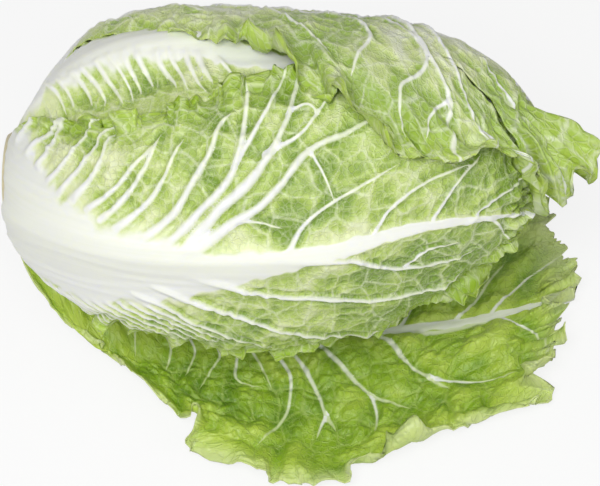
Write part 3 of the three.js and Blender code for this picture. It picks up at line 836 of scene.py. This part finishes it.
def leaf_material(name, pale, green, deep, margin, vein, rib, show_net=0.5, show_fine=0.2, rim_from=0.7):
    """The skin of a cabbage leaf: waxy and lightly shiny, thin enough to glow a little, with veins paler
    than it. pale, green and deep are the tones of its blade. show_net and show_fine say how clearly its
    small and its finest veins show, and rim_from is the share of the blade at which the margin's colour
    starts."""
    m = new_material(name)
    smooth_step = {"interpolation_type": "SMOOTHSTEP"}
    colours = {"data_type": "RGBA"}
    product = {"operation": "MULTIPLY"}
    keys = ("rib", "net", "small_net", "tone_and_painted_shade", "edge")
    read = {key: add(m, "Attribute", {"attribute_name": key}).outputs["Fac"] for key in keys}
    place = add(m, "Attribute", {"attribute_name": "leaf_mm"}).outputs["Vector"]
    # The finest veins of a real blade part it into fields of about a millimetre, which would not show. They
    # are drawn at about 3 mm, 0.31 to a millimetre, and wander over 5 mm.
    wobble = add(m, "TexNoise", Vector=place, Scale=0.22, Detail=2.0).outputs["Color"]
    bent = add(m, "VectorMath", {"operation": "MULTIPLY_ADD"}, n0=wobble, n1=(1.3, 1.3, 0), n2=place)
    fine = add(m, "TexVoronoi", {"feature": "DISTANCE_TO_EDGE"}, Vector=bent, Scale=0.31)
    fine = add(m, "MapRange", smooth_step, Value=fine, n1=0.02, n2=0.12, n3=1.0, n4=0.0)
    # Blotches of about 11 mm and speckles of about 1 mm part paler from deeper green.
    blotch = add(m, "TexNoise", Vector=place, Scale=0.09, Detail=4.0, Roughness=0.65)
    speckle = add(m, "TexNoise", Vector=place, Scale=0.8, Detail=3.0, Roughness=0.7)
    # The value read from the leaf holds painted shade in hollows and beside the veins, and painted light on
    # rises, besides the blade's own blotches.
    tone_and_painted_shade = add(m, "Math", {"operation": "MULTIPLY_ADD"}, n0=blotch, n1=0.6, n2=read["tone_and_painted_shade"])
    tone_and_painted_shade = add(m, "Math", {"operation": "MULTIPLY_ADD"}, n0=speckle, n1=0.45, n2=tone_and_painted_shade)
    ramp = add(m, "ValToRGB", Fac=add(m, "Math", {"operation": "SUBTRACT"}, n0=tone_and_painted_shade, n1=0.525))
    stops = ramp.color_ramp.elements
    stops[0].position, stops[0].color = 0.1, linear(pale)
    stops[1].position, stops[1].color = 0.95, linear(deep)
    stops.new(0.52).color = linear(green)
    rim = add(m, "MapRange", smooth_step, Value=read["edge"], n1=rim_from, n2=1.0, n3=0.0, n4=0.75)
    blade = add(m, "Mix", colours, n0=rim, n6=ramp, n7=linear(margin))
    share = add(m, "Math", product, n0=fine, n1=show_fine)
    blade = add(m, "Mix", colours, n0=share, n6=blade, n7=linear(vein))
    for key, width, strength in (("small_net", 0.85, show_net * 0.45), ("net", 1.2, show_net)):
        net = add(m, "MapRange", smooth_step, Value=read[key], n1=0.1, n2=width, n3=strength, n4=0.0)
        blade = add(m, "Mix", colours, n0=net, n6=blade, n7=linear(vein))
    # A large vein shows where the place lies across it and is not beyond its edge.
    vein_parts = add(m, "Attribute", {"attribute_name": "vein"}).outputs["Vector"]
    parts = add(m, "SeparateXYZ", n0=vein_parts).outputs
    across = add(m, "Math", {"operation": "ABSOLUTE"}, n0=parts[0])
    on_vein = add(m, "MapRange", smooth_step, Value=across, n1=0.3, n2=1.6, n3=0.95, n4=0.0)
    near_vein = add(m, "MapRange", smooth_step, Value=parts[1], n1=0.2, n2=0.55, n3=1.0, n4=0.0)
    share_of_vein = add(m, "Math", product, n0=on_vein, n1=near_vein)
    # It is white where it leaves the midrib and greener towards its end.
    far = add(m, "MapRange", smooth_step, Value=parts[2], n1=0.15, n2=1.0, n3=0.0, n4=0.8)
    shown = add(m, "Mix", colours, n0=far, n6=linear(rib), n7=linear(vein))
    blade = add(m, "Mix", colours, n0=share_of_vein, n6=blade, n7=shown)
    # The midrib has faint streaks of fibre, about 80 mm long and 2 mm apart.
    streak = add(m, "Mapping", Vector=place, Scale=(0.012, 0.55, 1.0))
    streaks = add(m, "TexNoise", Vector=streak, Scale=1.0, Detail=3.0)
    streaks = add(m, "Math", product, n0=streaks, n1=0.35)
    white = add(m, "Mix", colours, n0=streaks, n6=linear(rib), n7=linear(vein))
    on_rib = add(m, "MapRange", smooth_step, Value=read["rib"], n1=0.88, n2=1.14, n3=1.0, n4=0.0)
    colour = add(m, "Mix", colours, n0=on_rib, n6=blade, n7=white)
    # The finest relief is on the blade alone: the midrib and the veins are smooth.
    height = add(m, "Math", {"operation": "ADD"}, n0=fine, n1=speckle)
    flat = add(m, "MapRange", smooth_step, Value=read["rib"], n1=0.9, n2=1.6, n3=0.0, n4=1.0)
    height = add(m, "Math", product, n0=height, n1=flat)
    off_vein = add(m, "Math", {"operation": "SUBTRACT"}, n0=1.0, n1=share_of_vein)
    height = add(m, "Math", product, n0=height, n1=off_vein)
    bump = add(m, "Bump", Height=height, Distance=0.5 * MM, Strength=0.6)
    waxy = {"Roughness": 0.35, "IOR": 1.45}
    glow = {"Subsurface_Weight": 0.35, "Subsurface_Radius": (1.0, 1.0, 0.45), "Subsurface_Scale": 2.5 * MM}
    add(m, "OutputMaterial", Surface=add(m, "BsdfPrincipled", Base_Color=colour, Normal=bump, **waxy, **glow))
    return m


def dress(thing, material, node):
    """Gives a piece its finish, hangs it from the root and hides the solid of the frame that it stands for.
    """
    thing.data.materials.append(material)
    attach(thing, "root")
    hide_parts(node)


# None of these is seen closely, so they share one plan of veins, for a leaf about this long.
USUAL_LENGTH = 330


def pinnate(length, midrib, rib, half, pairs, first=16, lean=30, width=1.3):
    """Lateral veins in pairs: short and close at the base, then longer, wider apart and leaning to the
    tip."""
    veins = [([(length * 0.45, 0), (length * 0.7, 0), (length * 0.97, 0)], 1.8, 0.6, 1.6)]
    for k in range(pairs):
        share = (k / pairs) ** 1.25
        u = first + (length * 0.86 - first) * share
        for side in (-1, 1):
            u0 = u + side * 3
            v0 = float(spline(midrib, u0 / length)) + side * 0.7 * float(spline(rib, u0 / length))
            reach = half * math.sin(math.pi * min(0.2 + 0.75 * share, 0.9))
            middle = (u0 + lean * 0.5, v0 + side * reach * 0.45)
            path = [(u0, v0), middle, (u0 + lean * 1.35, v0 + side * reach)]
            veins.append((path, width, 0.5, 1.7 - 0.5 * share))
    return veins


COMMON = {"teeth": 3.0, "veins": pinnate(USUAL_LENGTH, PLAIN["midrib"], PLAIN["rib"], 95, 13)}
inner_skin = leaf_material("inner_leaf", "#e2e8bd", "#c3d07f", "#a3b65a", "#c4d36c", "#e6ebc9", "#f3f4e8")
for index in range(5, 13):
    rows, columns = (180, 100) if index < 7 else (100, 60)
    inner = head_leaf({**leaf_at(index), **COMMON}, rows, columns)
    dress(inner, inner_skin, f"inner_leaf_{index:02d}")


# ---- Underside leaf ----
# An outer leaf that the head lies on: its blade and white rib show only from below and behind. It grows
# from the stump like the others and is pressed between the head and the spread leaf.
outer_skin = leaf_material("outer_leaf", "#dfe8b0", "#b4cb66", "#7d9c38", "#a6c340", "#e3ebc6", "#f6f7f1")
underside_leaf = head_leaf({**leaf_at(3), **COMMON}, 220, 120)
dress(underside_leaf, outer_skin, "underside_leaf")


# ---- Upper leaf ----
# An outer leaf along the top of the head. Most of it is covered: its broad white rib shows between the top
# leaf and the front leaf, with the first short veins that leave it.
UPPER = {
    **leaf_at(4),
    "midrib": (-26, -12, 2, 18, 22, 22, 20),
    "rib": (24, 19, 11, 6, 4.5, 4, 3),
    "bulge": -1.2,
    "pucker": -1.2,
    "wave": 1.0,
    "deepen": 0.2,
    "teeth": 3.0,
    "stand": (-2.0, 0.5),
    "frill": (0.2, 3.0, 20.0),
    "veins": [],
}
# Short veins leave the rib on the near side, about 8 mm apart, and longer ones on the far side.
uneven = np.random.default_rng(4)
for k in range(13):
    u0 = 32 + 8.2 * k + uneven.uniform(-2.2, 2.2)
    side = 0.85 * float(spline(UPPER["rib"], u0 / USUAL_LENGTH))
    v0 = float(spline(UPPER["midrib"], u0 / USUAL_LENGTH)) + side
    long, bend, wide = uneven.uniform(16, 30), uneven.uniform(-1, 4), uneven.uniform(1.2, 2.5)
    path = [(u0, v0 - 4), (u0 + 0.15 * long + bend, v0 + 0.4 * long), (u0 + 0.4 * long, v0 + long)]
    UPPER["veins"].append((path, wide, 0.3, 1.8))
    UPPER["veins"].append(([(u0, v0 - 40), (u0 + 9, v0 - 55), (u0 + 22, v0 - 76)], 1.6, 0.6, 1.8))
upper_leaf = head_leaf(UPPER, 240, 130)
dress(upper_leaf, outer_skin, "upper_leaf")


# ---- Front leaf ----
# The big outer leaf that wraps the near side. Its midrib is as wide as the head at the base, flat and
# fleshy, and splits into thick white veins; the blade between them is puckered, and its upper margin is
# crumpled and curled.
FRONT = {
    **leaf_at(2),
    "up": (74, 52, 68, 78, 78),
    "down": (60, 56, 58, 61, 60),
    "midrib": (-11, 9.5, 12.5, 6, -1, -5, 3, 18.5),
    "rib": (51, 33.5, 23.5, 11, 5.2, 2.7, 1.4, 0.8),
    "fray": 0.2,
    "bulge": -1.2,
    "pucker": -1.1,
    "crease": 1.0,
    "crumple": (14, 3.5),
    "crumpled": (0.62, 0.95),
    "deepen": 0.2,
    "teeth": 2.5,
    "stand": (-2.2, 1.5),
    "frill": (0.25, 6.0, 22.0),
    "frill_sides": (1.2, 0.9),
    "curl": (15, 4.2),
    "tight": (-0.56, -0.3),
    "veins": [
        ([(96, -8), (112, -22), (120, -34), (129, -52), (134, -66), (141, -74)], 2.1, 0.7, 2.4),
        ([(108, -6), (125, -24), (142, -46), (148, -80), (150, -98)], 2.3, 0.7, 2.4),
        ([(118, -5), (135, -26), (152, -42), (157, -50), (164, -62), (173, -92), (179, -112)], 2.7, 0.8, 2.6),
        ([(142, -46), (158, -78), (168, -104)], 1.2, 0.5, 1.6),
        ([(157, -54), (174, -63), (196, -92)], 1.3, 0.5, 1.5),
        ([(118, -2), (139, -18), (158, -31), (178, -54), (199, -62), (218, -68)], 3.0, 0.9, 2.6),
        ([(169, -5), (179, -18), (194, -28), (224, -40)], 1.5, 0.5, 1.8),
        ([(209, -5), (216, -16), (225, -22), (240, -27), (262, -30)], 1.3, 0.5, 1.4),
        ([(242, -6), (249, -15), (257, -24), (270, -34)], 1.2, 0.5, 1.2),
        ([(262, 2), (280, -8), (305, -10)], 1.0, 0.5, 1.2),
        ([(274, 1), (283, 8), (296, 30)], 1.1, 0.5, 1.2),
        ([(230, 20), (242, 12), (259, 12)], 0.8, 0.4, 0.8),
        ([(170, 3), (197, 6), (212, 14), (232, 22), (255, 25), (274, 22)], 1.9, 0.6, 1.8),
        ([(118, 12), (132, 16), (152, 23), (190, 34), (220, 43), (250, 47), (264, 38)], 2.2, 0.7, 2.2),
        ([(96, 20), (109, 27), (130, 37), (152, 49), (178, 63), (205, 76), (224, 77)], 2.1, 0.7, 2.2),
        ([(84, 28), (98, 34), (118, 48), (140, 62), (162, 76)], 1.7, 0.6, 1.8),
        ([(139, -18), (150, -20), (166, -16)], 0.8, 0.4, 1.0),
        ([(178, -54), (186, -40), (190, -28)], 0.7, 0.4, 0.8),
        ([(167, -74), (178, -80), (184, -74)], 0.8, 0.4, 1.0),
    ],
}
# Short veins leave the base of the midrib, 9 mm apart on its upper side and 7 mm apart on its lower side.
for k in range(9):
    start = 12 + 9 * k
    lean = 22 + 1.6 * k
    first = float(np.interp(start, (0, 30, 60, 96), (-44, -30, -20, -8)))
    bow = 6 * math.sin(k * 2.3)
    middle = (start + lean * 0.55 + bow * 0.5, first - 18)
    path = [(start, first), middle, (start + lean + bow, first - 46 + bow)]
    FRONT["veins"].append((path, 1.9, 0.5, 1.8))
for k in range(10):
    start = 30 + 7 * k
    first = float(np.interp(start, (0, 50, 100), (38, 42, 36)))
    path = [(start, first), (start + 20, first + 13), (start + 46, first + 30)]
    FRONT["veins"].append((path, 1.3, 0.5, 1.3))
front_leaf = head_leaf(FRONT, 330, 190)
dress(front_leaf, outer_skin, "front_leaf")


# ---- Top leaf ----
# The last leaf to fold over the head, from behind. It is torn at its tip: the part above the tear springs
# out beyond the head, and its free lower margin is curled back in thick folds.

# Where the tear starts, as shares of the rows and columns, and the places across the leaf that it runs
# between.
TEAR_AT = (0.75, 0.7)
TEAR_LINE = (0.47, 0.94)
# 74 % of the columns lie above the place -0.1, so the column at the tear is about at TEAR_Q.
DENSE = (-0.1, 0.74)
TEAR_Q = 5 / 9
TEAR_FROM = length_to(TEAR_AT[0])
# How far the tear opens, in degrees, and how far the lobe above it springs out, in millimetres.
TEAR_OPENING = 8
TOP_FLARE = 19


def tear_line(p):
    """How far across the leaf the tear lies at p: it runs aslant to the lower margin."""
    return lerp(*TEAR_LINE, smooth(p, 0.52, 1))


def drawn_to_tear(p, q):
    line = tear_line(p)
    above = -1 + (q + 1) * (line + 1) / (TEAR_Q + 1)
    return np.where(q <= TEAR_Q, above, 1 - (1 - q) * (1 - line) / (1 - TEAR_Q))


def top_lobe(grid):
    """How the lobe above the tear lies: turned aside in degrees, and lifted from the head."""
    p, q = grid["p"], grid["q"]
    line = tear_line(p)
    opened = TEAR_OPENING * np.clip((p - TEAR_FROM) / (1 - TEAR_FROM), 0, 1) * smooth(q, line - 0.3, line)
    # The lobe is turned up as a whole, and its corner once more.
    turned = 5 * smooth(p, 0.8, 1) * smooth(q, 0.1, 0.4) + 8 * smooth(p, 0.84, 1) * swell(q, 0.38, 0.15)
    lift = TOP_FLARE * smooth(p, 0.78, 1) * smooth(q, 0.2, 0.5) * (1 - 0.85 * smooth(q, 0.65, 0.9))
    lift = lift + 5 * smooth(p, 0.84, 1) * swell(q, 0.38, 0.12)
    return np.where(grid["above"], -opened - turned, 0), np.where(grid["above"], lift, 0)


TOP = {
    **leaf_at(1),
    "down": (12, 27, 44, 57, 78, 102, 101, 101, 200),
    "rib": (50, 30, 16, 8, 5, 4, 2),
    "bulge": -1.2,
    "pucker": -1.2,
    "wave": 1.2,
    "crumple": (13, 4.0),
    "teeth": 3.0,
    "stand": (-4.2, 0.8),
    "frill": (0.4, 10.0, 27.0),
    "frill_sides": (0.15, 1.0),
    "frill_turn": (0.1, 0.7),
    "tight": (-0.25, 0.1),
    "curl": (16, 4.6),
    "lobe": top_lobe,
    "veins": [
        ([(110, 20), (150, 50), (172, 78), (189, 106)], 1.3, 0.6, 1.8),
        ([(150, 20), (190, 50), (209, 75), (203, 98), (199, 113)], 1.3, 0.6, 1.8),
        ([(180, 20), (220, 50), (238, 75), (223, 104), (225, 130)], 1.2, 0.6, 1.6),
        ([(200, 15), (228, 50), (241, 73), (249, 88), (250, 117), (267, 131)], 1.6, 0.6, 2.2),
        ([(225, 12), (245, 50), (256, 73), (265, 91), (283, 95), (302, 88)], 1.4, 0.5, 2.0),
        ([(249, 88), (240, 104), (238, 120)], 0.77, 0.4, 1.2),
        ([(265, 88), (285, 80), (305, 70)], 0.77, 0.4, 1.2),
        ([(265, 30), (290, 50), (315, 62)], 1, 0.4, 1.4),
        ([(120, -10), (150, -45), (165, -85)], 1.3, 0.6, 1.8),
        ([(155, -8), (190, -45), (208, -85)], 1.3, 0.6, 1.8),
        ([(190, -8), (225, -40), (245, -78)], 1.3, 0.5, 1.6),
        ([(228, -6), (260, -32), (285, -58)], 1.2, 0.5, 1.4),
        ([(80, 14), (104, 36), (125, 62)], 1.3, 0.5, 1.6),
        ([(55, 16), (74, 34), (90, 50)], 1.2, 0.5, 1.4),
        ([(85, -14), (112, -40), (125, -72)], 1.3, 0.5, 1.6),
        ([(50, -18), (75, -40), (90, -62)], 1.2, 0.5, 1.4),
    ],
}
top_leaf = head_leaf(TOP, 320, 190, tear=TEAR_AT, dense=DENSE, drawn=drawn_to_tear)
top_skin = leaf_material("top_leaf", "#e9eece", "#cddb94", "#99b64f", "#aeca48", "#e8eed2", "#f5f6f0")
dress(top_leaf, top_skin, "top_leaf")


# ---- Spread leaf ----
# The oldest leaf, fallen open under the head, with its inner side up: darker green, deeply puckered and
# soft, with sunken white veins. It hangs on the stump by its base, and its notched margin is turned up.

# By places along its midrib: distance from the base of the head, distance in front of the head's axis,
# width of the blade in front of the midrib and behind it.
SPREAD_LENGTH = 308
SPREAD_POINTS = np.array(
    [
        (0, 6, 14, 14),
        (50, 32, 26, 28),
        (100, 44, 65, 72),
        (150, 48, 90, 100),
        (200, 44, 87, 98),
        (250, 32, 73, 84),
        (SPREAD_LENGTH, 14, 80, 78),
    ],
    float,
)


def spread_midrib(x):
    """How far the midrib lies in front of the head's axis, at a distance x from the base of the head."""
    t = np.linspace(0, 1, 200)
    return np.interp(x, spline(SPREAD_POINTS[:, 0], t), spline(SPREAD_POINTS[:, 1], t))


def spread_surface(across, along):
    """The leaf's upper side, on the surface or against the base of the head."""
    t = share_of_length(along)
    x, front, front_width, back_width = (spline(SPREAD_POINTS[:, k], t) for k in range(4))
    width = np.where(across < 0, front_width, back_width)
    rib = SPREAD_RIB * np.clip(1 - t, 0, 1) ** 0.8 * swell(across, 0, 0.12)
    tip_x = (7 * across + 6) * smooth(t, 0.75, 1)
    laid = np.stack([x + tip_x - ORIGIN_X, across * width - front, SPREAD_BLADE + rib], -1)
    # At its base it lies 3 mm off the head, a little in front of where it grew.
    s = FIRST + t * 0.95
    theta = OLDEST_LEAF_ANGLE + 18 + across * (14 + 20 * smooth(t, 0.03, 0.15))
    against = head_point(s, theta, 1.02 + 3 / level_size(s), AXIS_HEIGHT)
    towards_front = smooth(-across, 0, 0.9)
    on_table = smooth(t, 0.08 - 0.07 * towards_front, 0.34 - 0.18 * towards_front)
    return lerp(against, laid, on_table[..., None])


SPREAD = {
    **PLAIN,
    "length": SPREAD_LENGTH,
    "half": 80,
    "midrib": (0, 4, 10, 12, 7, 1, 0),
    "rib": (13, 8, 6, 4.5, 3.2, 2.2, 1.2),
    "bulge": 2.6,
    "pucker": 1.6,
    "shade": 0.08,
    "wave": 1.2,
    "vein_relief": -0.5,
    "deepen": -0.25,
    "crease": 0.3,
    "crumple": (26, 6.5),
    "crumpled": (0.15, 0.85),
    "teeth": 4.0,
    "cuts": ((103, 22, 5), (91, 9, 8), (40, 6, 4), (20, -9, 8)),
    "frill": (0.24, 9.0, 33.0),
    "curl": (13, 4.5),
}
# Each vein's course, by distance from the base of the head and distance in front of its axis, then its
# half-widths at its start and end, and its height.
SPREAD_VEINS = [
    ([(0, 6), (100, 34), (150, 36), (200, 37), (230, 37), (255, 31), (272, 25), (300, 14)], 2.2, 0.7, 1.5),
    ([(180, 47), (200, 42), (226, 68), (237, 74)], 1.8, 0.6, 1.2),
    ([(150, 44), (167, 48), (193, 77), (215, 86)], 1.8, 0.6, 1.2),
    ([(193, 77), (196, 92), (194, 102)], 1.0, 0.5, 1.0),
    ([(135, 46), (157, 61), (169, 89), (174, 100)], 1.4, 0.6, 1.2),
    ([(170, 90), (164, 104)], 0.8, 0.4, 1.0),
    ([(125, 46), (147, 61), (149, 86), (133, 110)], 1.2, 0.5, 1.2),
    ([(112, 45), (129, 51), (140, 74)], 1.1, 0.5, 1.0),
    ([(104, 44), (119, 50), (120, 67), (134, 74)], 1.1, 0.5, 1.0),
    ([(96, 43), (111, 53), (100, 73)], 1.0, 0.4, 1.0),
    ([(82, 42), (97, 50), (92, 67)], 1.0, 0.4, 1.0),
    ([(66, 40), (84, 48), (82, 62)], 0.9, 0.4, 1.0),
    ([(50, 33), (66, 42), (64, 54)], 0.8, 0.4, 1.0),
    ([(36, 26), (50, 34), (50, 44)], 0.8, 0.4, 1.0),
    ([(236, 43), (250, 20), (269, -12)], 1.4, 0.5, 1.2),
    ([(258, 35), (273, 9), (292, -10), (300, -18)], 1.2, 0.5, 1.2),
    ([(262, 34), (280, 40), (292, 52)], 0.8, 0.4, 1.0),
    ([(226, 68), (250, 70), (272, 66)], 0.8, 0.4, 1.0),
    ([(210, 45), (222, 15), (240, -20)], 1.4, 0.5, 1.2),
    ([(180, 47), (190, 10), (205, -30)], 1.4, 0.5, 1.2),
    ([(150, 48), (158, 10), (170, -32)], 1.4, 0.5, 1.2),
    ([(120, 46), (128, 12), (138, -22)], 1.4, 0.5, 1.2),
]
# Veins that start further in front than this leave a larger one, not the midrib.
LARGER_VEINS = 50
SPREAD["veins"] = []
for points, *widths in SPREAD_VEINS:
    path = [(x, float(spread_midrib(x)) - front) for x, front in points]
    if points[0][1] < LARGER_VEINS:
        path[0] = (path[0][0], float(spline(SPREAD["midrib"], path[0][0] / SPREAD_LENGTH)))
    SPREAD["veins"].append((path, *widths))
SPREAD_SEED = 7
# Beyond its deepest notch, from 105 to 135 mm round the margin, the margin is drawn back by this much.
DRAWN_BACK = 17


def make_spread_leaf(rows, columns):
    grid = make_grid(even(rows * FINENESS), even(columns * FINENESS), dense=(0, 0.3))
    across, along = outline_point(grid["p"], grid["q"], FULL_OUTLINE_POWER)
    edge = np.maximum(np.abs(grid["q"]), grid["p"])
    t = share_of_length(along)
    margin = margin_distance(t * SPREAD_LENGTH, across, along, SPREAD_LENGTH)
    # Its margin moves freely in front of the head, and lies flat under it.
    free = smooth(t, 0.04, 0.2) * (1 - smooth(across, 0.0, 0.5))
    out, way = ruffles(SPREAD, margin, edge, SPREAD_SEED)
    roll = rolled(SPREAD, margin, edge, free, SPREAD_SEED)
    across, along = notched(SPREAD, across, along, margin, edge, SPREAD_SEED)
    t = share_of_length(along)
    u, _, front_width, back_width = (spline(SPREAD_POINTS[:, k], t) for k in range(4))
    v = across * np.where(across < 0, front_width, back_width)
    values, relief = leaf_values(SPREAD, u, v, edge, SPREAD_SEED)
    here, outwards, up, side = frames(spread_surface, across, along)
    raised = np.maximum(relief, -0.8) + (out * 0.6 + 6 * smooth(edge, 0.6, 1)) * free
    notch = smooth(margin, 105, 112) * (1 - smooth(margin, 112, 135))
    here[..., 0] -= DRAWN_BACK * notch * smooth(edge, 0.76, 1) * free
    thick = np.full(edge.shape, SHEET)
    fine, back = folded(here, -outwards, up, side, across, along, raised, way * free, roll, thick)
    # Neither side goes into the surface that it lies on.
    fine[..., 2] = np.maximum(fine[..., 2], 1.0)
    back[..., 2] = np.maximum(back[..., 2], 0.05)
    return make_object("spread_leaf", fine, back, grid, values, flip=True)


spread_colours = ("#b7cf50", "#8fb12c", "#5f8618", "#d6e3a0", "#b9ce70", "#f2f4ea")
spread_skin = leaf_material("spread_leaf", *spread_colours, show_net=0.4, show_fine=0.15, rim_from=0.84)
spread_leaf = make_spread_leaf(330, 190)
dress(spread_leaf, spread_skin, "spread_leaf")


# ---- Floor, light and camera ----
# A sheet of white paper in a pale room, under a soft lamp in front and a weaker one on the right. The
# camera looks down at the near side.

# Half the paper's width, in metres, and how far it lies under the leaf.
PAPER_HALF = 4
PAPER_GAP = 0.5 * MM
# The share of the paper that is plain white whatever falls on it. The rest takes the shadow.
PAPER_GLOW = 0.82
# The room's light on the head, as a share of how bright its pale walls look.
ROOM_LIGHT = 0.33


def seen_directly(tree):
    """1 for what the camera sees, also in a mirror or through glass, and 0 for light on its way to the
    object."""
    seen = add(tree, "LightPath").outputs
    either = add(tree, "Math", {"operation": "MAXIMUM"}, n0=seen["Is Camera Ray"], n1=seen["Is Glossy Ray"])
    return add(tree, "Math", {"operation": "MAXIMUM"}, n0=either, n1=seen["Is Transmission Ray"])


floor_mesh = bpy.data.meshes.new("floor")
corners = ((-1, -1), (1, -1), (1, 1), (-1, 1))
floor_mesh.from_pydata([(x * PAPER_HALF, y * PAPER_HALF, -PAPER_GAP) for x, y in corners], [], [(0, 1, 2, 3)])
floor = bpy.data.objects.new("floor", floor_mesh)
bpy.context.scene.collection.objects.link(floor)
# Uncoated white paper: quite matt, so that it has no gleam and the head's shadow lies softly on it.
paper = new_material("white_paper")
diffuse = add(paper, "BsdfDiffuse", Color=linear("#efefef"))
glow = add(paper, "Emission", Color=linear("#ffffff"), Strength=1.0)
share = add(paper, "Math", {"operation": "MULTIPLY"}, n0=seen_directly(paper), n1=PAPER_GLOW)
add(paper, "OutputMaterial", Surface=add(paper, "MixShader", n0=share, n1=diffuse, n2=glow))
floor_mesh.materials.append(paper)

world = bpy.data.worlds.new("studio")
bpy.context.scene.world = world
world.use_nodes = True
world.node_tree.nodes.clear()
level = add(world, "MapRange", Value=seen_directly(world), n1=0.0, n2=1.0, n3=ROOM_LIGHT, n4=1.0)
walls = add(world, "Background", Color=linear("#e7e7e7"), Strength=level)
add(world, "OutputWorld", Surface=walls)


def softbox(name, place, size, watts):
    """A square lamp that faces the middle of the head."""
    light = bpy.data.lights.new(name, "AREA")
    light.shape = "RECTANGLE"
    light.size = light.size_y = size
    light.energy = watts
    lamp = bpy.data.objects.new(name, light)
    lamp.location = place
    lamp.rotation_mode = "QUATERNION"
    lamp.rotation_quaternion = (Vector((0, 0, 0.08)) - Vector(place)).to_track_quat("-Z", "Y")
    bpy.context.scene.collection.objects.link(lamp)


softbox("key", (-0.15, -0.55, 1.0), 0.55, 8.6)
softbox("fill", (0.8, -0.4, 0.6), 0.7, 1.4)

CAMERA_ELEVATION = math.radians(55)
CAMERA_DISTANCE = 0.973
CAMERA_TARGET = (0.0051, -0.0262, (AXIS_HEIGHT - 18.4) * MM)
camera_data = bpy.data.cameras.new("camera")
camera_data.lens = 110
camera_data.clip_start, camera_data.clip_end = 0.05, 20
camera = bpy.data.objects.new("camera", camera_data)
bpy.context.scene.collection.objects.link(camera)
bpy.context.scene.camera = camera
way_back = Vector((0, -math.cos(CAMERA_ELEVATION), math.sin(CAMERA_ELEVATION)))
camera.location = Vector(CAMERA_TARGET) + CAMERA_DISTANCE * way_back
camera.rotation_euler = (math.pi / 2 - CAMERA_ELEVATION, 0, 0)

bpy.context.scene.view_settings.view_transform = "Standard"
